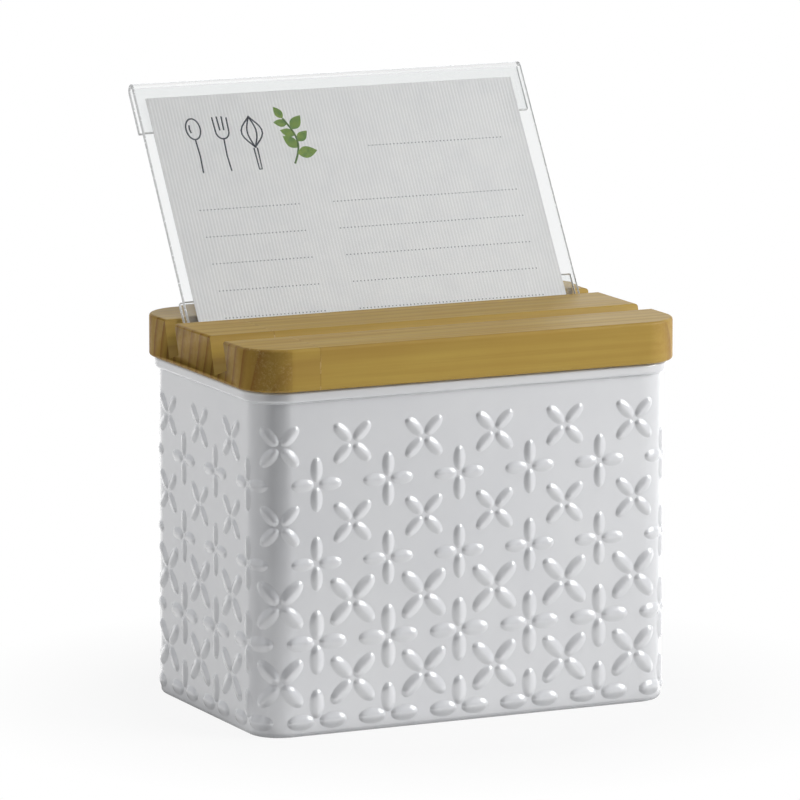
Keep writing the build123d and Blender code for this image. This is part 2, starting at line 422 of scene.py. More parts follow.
@dataclass(frozen=True)
class Paper(Finish):
    """Card stock: fibres, a faint mottle, and ribs or ruled lines where it has them; the ribs carry painted
    shade.
    """

    light: Colour
    shade: Colour
    rib_pitch: float = 0.0
    rule_pitch: float = 0.0
    rule_share: float = 0.05
    rule_colour: Colour = tone(170, 186, 200)
    lean: float = 0.0

    def paint(self, shader: Shader) -> None:
        """Mottle the stock, then rib or rule it as it leans, painting shade along the ribs.

        Args:
            shader: The material's tree.
        """
        mottle = shader.noise(shader.place, 120.0, 4.0, 0.6)
        fibres = shader.noise(shader.scaled(420.0, 1500.0, 900.0), 1.0, 3.0, 0.6)
        body = shader.ramp(mottle, [(0.1, self.shade), (0.6, self.light)])
        body = shader.mix(shader.between(fibres, 0.55, 0.8, 0.0, 0.35), body, self.shade)
        turn = (math.radians(self.lean), 0, 0)
        upright = shader.out("Mapping", {"Vector": shader.place, "Rotation": turn})
        across, _, up = shader.split(upright)
        normal = shader.bump(fibres, 0.00002, 0.4)
        if self.rib_pitch:
            wave = shader.maths("SINE", shader.times(across, math.tau / (self.rib_pitch * MM)))
            # Painted shade: the colour darkens towards the shade tone with each rib's height, beside the
            # rib's bump.
            body = shader.mix(shader.between(wave, -1.0, 1.0, 0.0, 0.6), body, self.shade)
            normal = shader.bump(wave, 0.00004, 0.8, Normal=normal)
        if self.rule_pitch:
            phase = shader.maths("FRACT", shader.maths("DIVIDE", up, self.rule_pitch * MM))
            rule = shader.maths("LESS_THAN", phase, self.rule_share)
            body = shader.mix(shader.times(rule, 0.6), body, self.rule_colour)
        shader.surface(Base_Color=body, Roughness=0.72, Normal=normal, Specular_IOR_Level=0.3)


@dataclass(frozen=True)
class Ink(Finish):
    """Printed ink: one colour that thins in places, as a brush or a press leaves it."""

    full: Colour
    thin: Colour

    def paint(self, shader: Shader) -> None:
        """Wash the ink from full to thin.

        Args:
            shader: The material's tree.
        """
        wash = shader.noise(shader.place, 420.0, 3.0, 0.6)
        body = shader.ramp(wash, [(0.35, self.full), (0.72, self.thin)])
        shader.surface(Base_Color=body, Roughness=0.6, Specular_IOR_Level=0.3)


def linked(name: str, data: bpy.types.ID) -> Piece:
    """Link a new object to the scene.

    Args:
        name: Its name.
        data: Its mesh, camera or lamp.

    Returns:
        The object.
    """
    made = bpy.data.objects.new(name, data)
    bpy.context.scene.collection.objects.link(made)
    return made


def new_piece(
    name: str,
    points: Iterable[Place],
    faces: Iterable[Face],
    materials: Sequence[Material],
    slots: Sequence[int] | None = None,
) -> Piece:
    """Make a mesh object from points in metres and link it.

    Args:
        name: The piece's name.
        points: Its vertices.
        faces: Its faces as vertex numbers, turned outwards.
        materials: Its materials in slot order.
        slots: The material slot of each face, or None for the first.

    Returns:
        The object, smooth shaded.
    """
    mesh = bpy.data.meshes.new(name)
    mesh.from_pydata([tuple(p) for p in points], [], [tuple(f) for f in faces])
    for material in materials:
        mesh.materials.append(material)
    if slots is not None:
        mesh.polygons.foreach_set("material_index", np.array(slots, np.int32))
    mesh.shade_smooth()
    mesh.update()
    return linked(name, mesh)


def closed_piece(*made_of: object) -> Piece:
    """Make a closed piece with its faces turned outwards and its edges kept sharp.

    Args:
        *made_of: What new_piece takes.

    Returns:
        The object.
    """
    piece = new_piece(*made_of)
    shape = bmesh.new()
    shape.from_mesh(piece.data)
    bmesh.ops.recalc_face_normals(shape, faces=shape.faces)
    shape.to_mesh(piece.data)
    shape.free()
    piece.data.update()
    piece.data.set_sharp_from_angle(angle=SHEET_EDGE)
    return piece


def tube(rings: int, size: int) -> list[Face]:
    """Join rings of points by quads.

    Args:
        rings: How many rings there are, numbered one after the other.
        size: How many points each has.

    Returns:
        The quads.
    """
    faces = []
    for ring in range(rings - 1):
        for k in range(size):
            a, b = ring * size + k, ring * size + (k + 1) % size
            faces.append((a, b, b + size, a + size))
    return faces


def settle(piece: Piece) -> None:
    """Turn what a piece's modifiers make into its own plain mesh and drop them.

    Args:
        piece: The piece.
    """
    graph = bpy.context.evaluated_depsgraph_get()
    made = bpy.data.meshes.new_from_object(
        piece.evaluated_get(graph), preserve_all_data_layers=True, depsgraph=graph
    )
    piece.modifiers.clear()
    before = piece.data
    piece.data = made
    bpy.data.meshes.remove(before)
    made.name = piece.name


class Rule(Tree):
    """A Geometry Nodes tree with named inputs that is put on a piece and settled."""

    def __init__(self, name: str, inputs: dict[str, str]) -> None:
        """Start a tree.

        Args:
            name: The tree's name.
            inputs: Each input's name and its socket type without the NodeSocket prefix.
        """
        super().__init__(bpy.data.node_groups.new(name, "GeometryNodeTree"))
        face = self.tree.interface
        face.new_socket(name="Geometry", in_out="INPUT", socket_type="NodeSocketGeometry")
        self.sockets = {
            key: face.new_socket(name=key, in_out="INPUT", socket_type="NodeSocket" + kind)
            for key, kind in inputs.items()
        }
        face.new_socket(name="Geometry", in_out="OUTPUT", socket_type="NodeSocketGeometry")
        self.given = self.add("NodeGroupInput").outputs

    def finish(self, geometry: Socket) -> "Rule":
        """End the tree in Realize Instances and Set Material.

        Args:
            geometry: What the tree has made.

        Returns:
            The tree's rule.
        """
        real = self.out("GeometryNodeRealizeInstances", {0: geometry})
        inputs = {"Geometry": real, "Material": self.given["Material"]}
        self.add("NodeGroupOutput", {0: self.out("GeometryNodeSetMaterial", inputs)})
        return self

    def run(self, piece: Piece, **values: object) -> None:
        """Put the tree on a piece and settle the result.

        Args:
            piece: The piece.
            **values: The tree's inputs, with underscores for spaces.
        """
        modifier = piece.modifiers.new(self.tree.name, "NODES")
        modifier.node_group = self.tree
        for key, value in values.items():
            modifier[self.sockets[key.replace("_", " ")].identifier] = value
        settle(piece)


def eased(value: float, ease: float) -> float:
    """Return a value from 0 to 1 unchanged at its ends, but leaving 0 with no slope."""
    return (math.hypot(value, ease) - ease) / (math.hypot(1, ease) - ease)


def arc(
    offset: float, z: float, radius: float, start: float, end: float, count: int, way: int
) -> list[Station]:
    """Return stations along an arc of a section.

    Args:
        offset, z: The arc's centre.
        radius: Its radius.
        start, end: Its first and last direction from the centre, in degrees.
        count: How many steps it has.
        way: 1 where the surface faces away from the centre, -1 where it faces it.

    Returns:
        Offset, height and the normal's two parts for each station.
    """
    stations = []
    for k in range(count + 1):
        angle = math.radians(start + (end - start) * k / count)
        cosine, sine = math.cos(angle), math.sin(angle)
        stations.append((offset + radius * cosine, z + radius * sine, way * cosine, way * sine))
    return stations


@dataclass(frozen=True)
class Petal:
    """One petal pressed out of the flat strip: a lens outline under a rounded crown."""

    middle: Point
    turn: float
    length: float
    steepness: float
    slenderness: float = 0.58
    bluntness: float = 0.5
    crown: float = 1.7
    foot: float = 0.4
    tip: float = 0.42
    tip_round: float = 1.1

    def half_width(self, s: float) -> float:
        """Return half the petal's width at s along it, from -1 to 1."""
        return self.length / 2 * self.slenderness * max(1 - s * s, 0.0) ** self.bluntness

    def spot(self, s: float, w: float) -> Point:
        """Find a point of the strip by its place on the petal.

        Args:
            s, w: How far along the petal and across it, each -1 to 1.

        Returns:
            The point along the strip and up it.
        """
        a, c = s * self.length / 2, w * self.half_width(s)
        cosine, sine = math.cos(self.turn), math.sin(self.turn)
        return (self.middle[0] + a * cosine - c * sine, self.middle[1] + a * sine + c * cosine)

    def local(self, u: float, z: float) -> Point:
        """Find a point's place on the petal, the reverse of spot.

        Args:
            u, z: The point along the strip and up it.

        Returns:
            How far along the petal and off its middle line it is.
        """
        cosine, sine = math.cos(self.turn), math.sin(self.turn)
        du, dz = u - self.middle[0], z - self.middle[1]
        return du * cosine + dz * sine, abs(dz * cosine - du * sine)

    def clear(self, u: float, z: float, margin: float) -> bool:
        """Tell whether a point of the flat keeps its distance.

        Args:
            u, z: The point.
            margin: How far it has to be from the petal's edge.

        Returns:
            True if it does.
        """
        a, c = self.local(u, z)
        half = self.length / 2 + margin
        return abs(a) >= half or c > self.half_width(a / half) + margin

    def lift(self, u: float, z: float) -> float:
        """Say how far the strip is pressed out.

        Args:
            u, z: The point.

        Returns:
            The lift, 0 off the petal.
        """
        a, c = self.local(u, z)
        s = a / (self.length / 2)
        if abs(s) >= 1 or c >= self.half_width(s):
            return 0.0
        end = math.sin(math.pi / 2 * min(1.0, (1 - abs(s)) / self.tip)) ** self.tip_round
        flank = 1 - (c / self.half_width(s)) ** self.crown
        return self.steepness * self.length * end * eased(flank, self.foot)

    def facing(self, u: float, z: float, step: float = 0.02) -> Place:
        """Find the pressed surface's normal.

        Args:
            u, z: The point.
            step: How far off it the slope is taken.

        Returns:
            The normal along the strip, outwards and up.
        """
        slope_u = (self.lift(u + step, z) - self.lift(u - step, z)) / (2 * step)
        slope_z = (self.lift(u, z + step) - self.lift(u, z - step)) / (2 * step)
        size = math.sqrt(slope_u**2 + slope_z**2 + 1)
        return (-slope_u / size, 1 / size, -slope_z / size)


@dataclass(frozen=True)
class SkinGrid:
    """How finely a skin is meshed: stations along and across a petal, and the rows' step."""

    along: tuple[float, ...]
    across: tuple[float, ...]
    step_up: float


class StripMesh:
    """Gathers one repeat of the wall as points (along, outwards, up) with normals."""

    def __init__(self) -> None:
        """Start empty."""
        self.points: list[Place] = []
        self.normals: list[Place] = []
        self.faces: list[Face] = []

    def point(self, place: Place, normal: Place) -> int:
        """Add a point.

        Args:
            place: Where it is.
            normal: Its normal.

        Returns:
            Its number.
        """
        self.points.append(place)
        self.normals.append(normal)
        return len(self.points) - 1

    def face(self, corners: Iterable[int], inside: bool) -> None:
        """Add a face given as seen from outside, turned round if it is the inner skin's."""
        corners = tuple(corners)
        self.faces.append(corners[::-1] if inside else corners)


@dataclass
class SteelBox:
    """The pressed steel box: its embossed wall, rolled rim, turned foot and base."""

    length: float = 168.2
    depth: float = 102.0
    corner: float = 12.5
    sheet: float = 0.8
    rim_top: float = 128.737
    bead_reach: float = 1.9
    bead_height: float = 4.5
    bead_round: float = 1.5
    crease_round: float = 0.4
    foot_round: float = 2.0
    foot_turn: float = 4.0
    foot_edge: float = 0.15
    skin_low: float = 2.3
    skin_below_bead: float = 5.0
    columns: int = 18
    rows: int = 4
    small_rows: int = 2
    cap_share: float = 0.95
    first_cross: float = 10.0
    cross_drop: float = 20.6
    row_pitch: float = 29.3
    petal_gap: float = 0.9
    small_petal: float = 9.3
    large_petal: float = 11.2
    steepness: float = 0.08
    flat_margin: float = 0.9
    flat_tolerance: float = 1e-5
    strip_columns: int = 12
    outer_grid: SkinGrid = SkinGrid(
        (-0.94, -0.82, -0.62, -0.34, 0.0, 0.34, 0.62, 0.82, 0.94),
        (-1, -0.87, -0.66, -0.4, -0.16, 0, 0.16, 0.4, 0.66, 0.87, 1),
        2.9,
    )
    inner_grid: SkinGrid = SkinGrid((-0.85, -0.45, 0.0, 0.45, 0.85), (-1, -0.5, 0, 0.5, 1), 5.0)

    @property
    def runs(self) -> Point:
        """The straight parts of the front and of a side."""
        return self.length - 2 * self.corner, self.depth - 2 * self.corner

    @property
    def pitch(self) -> float:
        """One repeat's length along the wall."""
        return (2 * sum(self.runs) + 2 * math.pi * self.corner) / self.columns

    def petals(self) -> list[Petal]:
        """Set out one repeat, which runs from one cross's middle to the next.

        Returns:
            Its petals.
        """
        found = []
        for row in range(self.rows):
            size = self.small_petal if row < self.small_rows else self.large_petal
            reach = self.petal_gap + size / 2
            cross_z = self.rim_top - self.cross_drop - row * self.row_pitch
            plus_z = cross_z - self.row_pitch / 2
            right, middle, left = 0.0, self.pitch / 2, self.pitch
            cross = [(45, right), (135, left), (225, left), (315, right)]
            for z, arms in ((cross_z, cross), (plus_z, [(turn, middle) for turn in (0, 90, 180, 270)])):
                for turn, base in arms:
                    angle = math.radians(turn)
                    place = (base + reach * math.cos(angle), z + reach * math.sin(angle))
                    if place[1] > self.foot_round:
                        found.append(Petal(place, angle, size, self.steepness))
        return found

    def skin(self, strip: StripMesh, inside: bool, low: float, high: float) -> tuple[Row, Row]:
        """Add one pressed skin of the repeat between two heights.

        Args:
            strip: The mesh it goes into.
            inside: True for the inner skin, which is coarser and faces inwards.
            low, high: The heights of its lower and upper edges.

        Returns:
            The point numbers along its lower and its upper edge.
        """
        grid = self.inner_grid if inside else self.outer_grid
        offset, sign = (-self.sheet, -1) if inside else (0.0, 1)
        flat: list[Point] = []
        numbers: list[int] = []

        def add(u: float, z: float, petal: Petal | None = None) -> int:
            """Add a point of the flat, pressed out if it is a petal's.

            Args:
                u, z: The point.
                petal: The petal, or None.

            Returns:
                Its number in the flat.
            """
            lift, normal = 0.0, (0.0, 1.0, 0.0)
            if petal is not None:
                lift, normal = petal.lift(u, z), petal.facing(u, z)
            flat.append((u, z))
            normal = tuple(sign * part for part in normal)
            numbers.append(strip.point((u, offset + lift, z), normal))
            return len(flat) - 1

        rows = max(2, round((high - low) / grid.step_up))
        heights = [low + (high - low) * k / rows for k in range(rows + 1)]
        spots = [self.pitch * k / self.strip_columns for k in range(self.strip_columns + 1)]
        bottom = [add(u, low) for u in spots]
        right = [add(self.pitch, z) for z in heights[1:-1]]
        top = [add(u, high) for u in spots]
        left = [add(0.0, z) for z in heights[1:-1]]
        loops = [bottom + right + top[::-1] + left[::-1]]
        petals = self.petals()
        for petal in petals:
            first = add(*petal.spot(-1, 0))
            lines = [[add(*petal.spot(s, w), petal) for w in grid.across] for s in grid.along]
            last = add(*petal.spot(1, 0))
            width = len(grid.across)
            for here, after in pairwise([[first] * width, *lines, [last] * width]):
                for k in range(width - 1):
                    corners = dict.fromkeys((here[k], after[k], after[k + 1], here[k + 1]))
                    strip.face([numbers[c] for c in corners], inside)
            far = [line[-1] for line in lines[::-1]]
            loops.append([first, *(line[0] for line in lines), last, *far])
        for u in spots[1:-1]:
            for z in heights[1:-1]:
                if all(petal.clear(u, z, self.flat_margin) for petal in petals):
                    add(u, z)
        vectors = [Vector(p) for p in flat]
        _, _, found, source, _, owners = delaunay_2d_cdt(vectors, [], loops, 1, self.flat_tolerance)
        for corners, owner in zip(found, owners):
            if set(owner) == {0}:
                strip.face([numbers[source[c][0]] for c in corners], inside)
        return [numbers[k] for k in bottom], [numbers[k] for k in top]

    def rim_line(self, high: float) -> list[Station]:
        """Return the rim's section from the outer skin over the bead to the inner skin.

        Args:
            high: The height where both skins end.

        Returns:
            Offset, height and the normal's two parts for each station between the skins.
        """
        crease, small, big = self.rim_top - self.bead_height, self.crease_round, self.bead_round
        middle = self.bead_reach - big
        inner = self.sheet * self.cap_share
        return [
            (0.0, (high + crease) / 2, 1.0, 0.0),
            *arc(small, crease - small, small, 180, 90, 4, -1),
            *arc(middle, crease + big, big, -90, 0, 6, 1),
            *arc(middle, self.rim_top - big, big, 0, 90, 6, 1),
            *arc(inner - self.sheet, self.rim_top - inner, inner, 90, 180, 4, 1),
            (-self.sheet, crease, -1.0, 0.0),
        ]

    def foot_line(self) -> list[Station]:
        """Return the foot's section from the outer skin under the box to the inner skin.

        Returns:
            Its stations, as rim_line gives them.
        """
        big, turn, sheet, small = self.foot_round, self.foot_turn, self.sheet, self.foot_edge
        return [
            *arc(-big, big, big, 0, -90, 7, 1),
            *arc(small - turn, small, small, -90, -180, 3, 1),
            *arc(small - turn, sheet - small, small, 180, 90, 3, 1),
            *arc(-big, big, big - sheet, -90, 0, 5, -1),
        ]

    def band(self, strip: StripMesh, start: Row, line: list[Station], end: Row, down: bool) -> None:
        """Join two edges of the skins by rows of quads along a section line.

        Args:
            strip: The mesh it goes into.
            start: The outer skin's edge.
            line: The section's stations between the two edges.
            end: The inner skin's edge.
            down: True if the section leaves the outer skin downwards.
        """
        spots = [strip.points[k][0] for k in start]
        rows = [[strip.point((u, offset, z), (0.0, out, up)) for u in spots] for offset, z, out, up in line]
        for here, after in pairwise([start, *rows, end]):
            for k in range(len(spots) - 1):
                strip.face((here[k], here[k + 1], after[k + 1], after[k]), down)

    def repeat_rule(self) -> Rule:
        """Make the tree that repeats the strip round the box and bends it to the outline.

        Returns:
            The tree.
        """
        lengths = dict.fromkeys(("Pitch", "Front Run", "Side Run", "Corner", "Start"), "Float")
        rule = Rule("wall_repeat", {"Columns": "Int"} | lengths | {"Material": "Material"})
        given = rule.given
        step = rule.out("CombineXYZ", {"X": given["Pitch"]})
        line = rule.out("GeometryNodeMeshLine", {"Count": given["Columns"], "Offset": step})
        copied = {"Points": line, "Instance": given["Geometry"]}
        copies = rule.out("GeometryNodeInstanceOnPoints", copied)
        strips = rule.out("GeometryNodeRealizeInstances", {0: copies})
        x, y, z = rule.split(rule.out("GeometryNodeInputPosition"))
        front, side, corner = given["Front Run"], given["Side Run"], given["Corner"]
        bend = rule.times(corner, math.pi / 2)
        half = rule.plus(rule.plus(front, side), rule.times(bend, 2))
        along = rule.plus(x, given["Start"])
        along = rule.maths("FLOORED_MODULO", along, rule.times(half, 2))
        heading, moves, at = 0.0, [], 0.0
        for run in (front, side, front, side):
            moves.append(rule.held(rule.minus(along, at), 0.0, run))
            at = rule.plus(at, run)
            turned = rule.held(rule.maths("DIVIDE", rule.minus(along, at), bend), 0.0, 1.0)
            heading = rule.maths("MULTIPLY_ADD", turned, math.pi / 2, heading)
            at = rule.plus(at, bend)
        reach = rule.minus(corner, y)
        sine, cosine = rule.maths("SINE", heading), rule.maths("COSINE", heading)
        centre_x = rule.minus(rule.minus(moves[0], moves[2]), rule.times(front, 0.5))
        centre_y = rule.minus(rule.minus(moves[1], moves[3]), rule.times(side, 0.5))
        bent_x = rule.maths("MULTIPLY_ADD", reach, sine, centre_x)
        bent_y = rule.minus(centre_y, rule.times(reach, cosine))
        bent = rule.out("CombineXYZ", {"X": bent_x, "Y": bent_y, "Z": z})
        kind = {"data_type": "FLOAT_VECTOR"}
        normal = rule.out("GeometryNodeInputNamedAttribute", {"Name": "strip_normal"}, **kind)
        turned = {"Vector": normal, "Angle": heading}
        turned = rule.out("VectorRotate", turned, rotation_type="Z_AXIS")
        kept = {"Geometry": strips, "Name": "wall_normal", "Value": turned}
        kept = rule.out("GeometryNodeStoreNamedAttribute", kept, domain="POINT", **kind)
        placed = rule.out("GeometryNodeSetPosition", {"Geometry": kept, "Position": bent})
        merged = {"Geometry": placed, "Distance": STRIP_WELD}
        return rule.finish(rule.out("GeometryNodeMergeByDistance", merged))

    def wall(self, enamel: Material) -> Piece:
        """Make the wall: one pressed repeat, repeated and bent by its tree.

        Args:
            enamel: Its finish.

        Returns:
            The wall.
        """
        strip = StripMesh()
        low, high = self.skin_low, self.rim_top - self.bead_height - self.skin_below_bead
        outer = self.skin(strip, False, low, high)
        inner = self.skin(strip, True, low, high)
        self.band(strip, outer[1], self.rim_line(high), inner[1], False)
        self.band(strip, outer[0], self.foot_line(), inner[0], True)
        points = np.array(strip.points) * (MM, -MM, MM)
        piece = new_piece("enamel_wall", points, strip.faces, [enamel])
        kept = piece.data.attributes.new("strip_normal", "FLOAT_VECTOR", "POINT")
        kept.data.foreach_set("vector", (np.array(strip.normals) * (1, -1, 1)).ravel())
        self.repeat_rule().run(
            piece,
            Columns=self.columns,
            Pitch=self.pitch * MM,
            Front_Run=self.runs[0] * MM,
            Side_Run=self.runs[1] * MM,
            Corner=self.corner * MM,
            Start=(self.first_cross + self.runs[0] / 2) * MM,
            Material=enamel,
        )
        mesh = piece.data
        mesh.shade_smooth()
        normals = np.zeros(len(mesh.vertices) * 3, np.float32)
        mesh.attributes["wall_normal"].data.foreach_get("vector", normals)
        normals = normals.reshape(-1, 3)
        normals /= np.linalg.norm(normals, axis=1, keepdims=True)
        for name in ("wall_normal", "strip_normal"):
            mesh.attributes.remove(mesh.attributes[name])
        mesh.normals_split_custom_set_from_vertices([tuple(n) for n in normals])
        return piece

    def build(self) -> list[Piece]:
        """Make and dress the box.

        Returns:
            Its pieces.
        """
        enamel = Enamel().build()
        wall = self.wall(enamel)
        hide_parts("box_wall")
        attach(wall, "box")
        return [wall, dress("box_base", enamel)]


def dress(node: str, finish: Material) -> Piece:
    """Give a CAD node one finish in all its material slots.

    Args:
        node: The node's name.
        finish: The material.

    Returns:
        The node's object.
    """
    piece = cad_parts[node]
    if not piece.material_slots:
        piece.data.materials.append(finish)
    for slot in piece.material_slots:
        slot.material = finish
    return piece


def smooth_copy(node: str, name: str, finish: Material) -> Piece:
    """Return a merged copy of a CAD node whose roundings shade smoothly.

    Args:
        node: The CAD node that the copy stands for.
        name: The new piece's name.
        finish: Its material.

    Returns:
        The copy, with its flat faces kept flat by weighted normals.
    """
    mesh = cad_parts[node].data.copy()
    mesh.name = name
    piece = linked(name, mesh)
    piece.modifiers.new("weld", "WELD").merge_threshold = WELD
    settle(piece)
    mesh = piece.data
    mesh.materials.clear()
    mesh.materials.append(finish)
    mesh.polygons.foreach_set("material_index", np.zeros(len(mesh.polygons), np.int32))
    mesh.shade_smooth()
    mesh.set_sharp_from_angle(angle=WOOD_EDGE)
    piece.modifiers.new("weighted", "WEIGHTED_NORMAL").keep_sharp = True
    settle(piece)
    return piece


@dataclass
class Lid:
    """The wooden lid: the slotted board and the plug under it."""

    front_joint: float = -62.0

    def build(self) -> list[Piece]:
        """Make and dress the lid.

        Returns:
            Its pieces.
        """
        pine = Pine(
            "honey_pine",
            early=tone(186, 155, 70),
            late=tone(132, 92, 40),
            stain=tone(170, 131, 52),
            joints=(self.front_joint,),
        )
        board = smooth_copy("lid_board", "pine_board", pine.build())
        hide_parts("lid_board")
        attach(board, "lid")
        pale = Pine(
            "pale_plug_wood",
            early=tone(214, 189, 136),
            late=tone(190, 156, 100),
            stain=tone(203, 172, 115),
            ring_pitch=9.0,
        )
        plug = smooth_copy("lid_plug", "lid_plug_board", pale.build())
        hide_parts("lid_plug")
        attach(plug, "lid")
        return [board, plug]


@dataclass(frozen=True)
class Leaning:
    """A frame that leans back about a line along X: across, back and up its slope."""

    middle_y: float
    middle_z: float
    lean: float

    def place(self, x: float, back: float, up: float) -> Place:
        """Place a point that leans.

        Args:
            x, back, up: The point across, back and up the slope.

        Returns:
            The point in metres.
        """
        sine, cosine = math.sin(math.radians(self.lean)), math.cos(math.radians(self.lean))
        y = self.middle_y + back * cosine + up * sine
        z = self.middle_z - back * sine + up * cosine
        return (x * MM, y * MM, z * MM)


class PrintKind(Enum):
    """The kinds of print on a card, by the name of their piece."""

    LINES = "printed_lines"
    STEM = "printed_stem"
    LEAVES = "printed_leaves"
    DOTS = "printed_dots"


@dataclass(frozen=True)
class DottedRules:
    """Rows of dots to write on: where they start, how long and how many they are."""

    left: float
    top: float
    length: float
    rows: int
    pitch: float = 11.0


@dataclass
class CardPrint:
    """The card's print: kitchen tools in line, a leafy sprig, and dotted rules to write on.

    Everything is laid out flat on the card, across from its middle and up from its foot,
    and stands proud of it by the ink's thickness.
    """

    leaning: Leaning
    face: float = 0.2
    ink: float = 0.03
    ink_sunk: float = 0.01
    line_width: float = 0.62
    stem_width: float = 0.8
    dot: float = 0.26
    dot_pitch: float = 1.5
    spoon_at: float = -60.0
    fork_at: float = -48.5
    whisk_at: float = -36.5
    tools_foot: float = 69.0
    sprig_foot: Point = (-22.0, 70.5)
    leaves: int = 7
    leaf_length: float = 7.9
    leaf_spread: float = 1.05
    leaf_seed: int = 7
    first_leaf: int = 3
    rules: tuple[DottedRules, ...] = (
        DottedRules(10.0, 76.0, 57.0, 1),
        DottedRules(-65.0, 54.0, 42.0, 5),
        DottedRules(-10.0, 54.0, 77.0, 5),
    )

    def spoon(self, x: float) -> list[list[Point]]:
        """Draw a spoon.

        Args:
            x: Where it stands.

        Returns:
            Its strokes.
        """
        y = self.tools_foot
        turn = np.linspace(0, math.tau, 25)
        bowl = [(x + 2.9 * math.sin(t), y + 18.2 + 4.3 * math.cos(t)) for t in turn]
        shine = [(x - 1.3, y + 19.9), (x - 1.5, y + 18.3), (x - 1.1, y + 16.6)]
        return [bowl, shine, [(x - 0.1, y + 13.9), (x + 0.3, y + 7.0), (x, y)]]

    def fork(self, x: float) -> list[list[Point]]:
        """Draw a fork.

        Args:
            x: Where it stands.

        Returns:
            Its strokes.
        """
        y = self.tools_foot + 0.6
        sweep = np.linspace(math.pi, math.tau, 13)
        root = [(x + 2.7 * math.cos(t), y + 16.0 + 3.1 * math.sin(t)) for t in sweep]
        root = [(x - 2.9, y + 22.0), *root, (x + 2.9, y + 21.6)]
        tines = [[(x + d, y + 22.2), (x + 0.8 * d, y + 16.4)] for d in (-1.0, 1.0)]
        return [root, *tines, [(x, y + 12.9), (x - 0.3, y + 6.0), (x + 0.1, y - 0.4)]]

    def whisk(self, x: float) -> list[list[Point]]:
        """Draw a whisk.

        Args:
            x: Where it stands.

        Returns:
            Its strokes.
        """
        y = self.tools_foot + 0.2
        turn = np.linspace(0, math.tau, 27)
        wires = [
            [(x + reach * math.sin(t) ** 3 * 1.1, y + 15.4 - 6.6 * math.cos(t)) for t in turn]
            for reach in (3.9, 1.7)
        ]
        grip = [(x - 0.7, y + 8.8), (x - 0.5, y), (x + 0.6, y), (x + 0.7, y + 8.8)]
        return [*wires, grip]

    def piece(self, kind: PrintKind, points: list[Point], edges: list[tuple[int, int]]) -> Piece:
        """Make a piece of bare edges, laid out flat in metres.

        Args:
            kind: What it prints.
            points: Its points.
            edges: Its edges as point numbers.

        Returns:
            The piece.
        """
        mesh = bpy.data.meshes.new(kind.value)
        mesh.from_pydata([(x * MM, y * MM, 0.0) for x, y in points], edges, [])
        return linked(kind.value, mesh)

    def strokes(self, kind: PrintKind, lines: list[list[Point]]) -> Piece:
        """Make a piece that has each line as a run of edges.

        Args:
            kind: What it prints.
            lines: The lines.

        Returns:
            The piece.
        """
        points, edges = [], []
        for line in lines:
            start = len(points)
            points += line
            edges += [(k, k + 1) for k in range(start, len(points) - 1)]
        return self.piece(kind, points, edges)

    def rule(self, name: str, **inputs: str) -> Rule:
        """Start a rule that has these inputs and those that lay its print on the card."""
        laid = {"Ink": "Float", "Foot": "Vector", "Lean": "Vector", "Material": "Material"}
        return Rule(name, inputs | laid)

    def laid(self) -> dict[str, float | Place]:
        """Say how a flat print lies on the card's face.

        Returns:
            The inputs that every print's rule takes.
        """
        foot = self.leaning.place(0.0, self.ink_sunk - self.face - self.ink / 2, 0.0)
        lean = (math.radians(90 - self.leaning.lean), 0.0, 0.0)
        return {"Ink": self.ink * MM, "Foot": foot, "Lean": lean}

    def lay(self, rule: Rule, flat: Socket) -> Rule:
        """Lean a flat print back onto the card's face, and end its rule.

        Args:
            rule: The rule.
            flat: What it has drawn.

        Returns:
            The rule.
        """
        given = rule.given
        moved = {"Geometry": flat, "Translation": given["Foot"], "Rotation": given["Lean"]}
        return rule.finish(rule.out("GeometryNodeTransform", moved))

    def ribbon_rule(self) -> Rule:
        """Make the tree that draws each run of edges as a flat ribbon of ink.

        Returns:
            The tree.
        """
        rule = self.rule("ink_ribbon", Width="Float")
        curve = rule.out("GeometryNodeMeshToCurve", {0: rule.given["Geometry"]})
        level = rule.out("GeometryNodeSetCurveNormal", {0: curve}, mode="Z_UP")
        section = {"Width": rule.given["Width"], "Height": rule.given["Ink"]}
        section = rule.out("GeometryNodeCurvePrimitiveQuadrilateral", section)
        ribbon = {"Curve": level, "Profile Curve": section, "Fill Caps": True}
        return self.lay(rule, rule.out("GeometryNodeCurveToMesh", ribbon))

    def leaf_rule(self) -> Rule:
        """Make the tree that sets pointed leaves along a stem, left and right in turn.

        Returns:
            The tree.
        """
        kinds = {"Leaves": "Int", "Length": "Float", "Spread": "Float", "Seed": "Int"}
        rule = self.rule("sprig_leaves", **kinds)
        given = rule.given
        stem = rule.out("GeometryNodeMeshToCurve", {0: given["Geometry"]})
        spots = {"Curve": stem, "Count": given["Leaves"]}
        spots = rule.add("GeometryNodeCurveToPoints", spots, mode="COUNT").outputs
        leaf = {"Vertices": 28, "Radius": 0.5, "Depth": given["Ink"]}
        leaf = rule.out("GeometryNodeMeshCylinder", leaf)
        x, y, z = rule.split(rule.out("GeometryNodeInputPosition"))
        room = rule.minus(0.25, rule.times(x, x))
        taper = rule.maths("SQRT", rule.maths("MAXIMUM", room, 0.0))
        taper = rule.times(taper, rule.minus(1.15, rule.times(x, 0.7)))
        shaped = {
            "X": rule.times(rule.plus(x, 0.5), given["Length"]),
            "Y": rule.times(y, taper, given["Length"]),
            "Z": z,
        }
        shaped = rule.out("CombineXYZ", shaped)
        leaf = rule.out("GeometryNodeSetPosition", {"Geometry": leaf, "Position": shaped})
        number = rule.out("GeometryNodeInputIndex")
        side = rule.maths("MULTIPLY_ADD", rule.maths("FLOORED_MODULO", number, 2.0), 2.0, -1.0)
        stray = {"Min": 0.85, "Max": 1.12, "ID": number, "Seed": given["Seed"]}
        stray = rule.add("FunctionNodeRandomValue", stray).outputs
        stray = next(socket for socket in stray if socket.enabled)
        last = rule.maths("COMPARE", number, rule.minus(given["Leaves"], 1.0), 0.1)
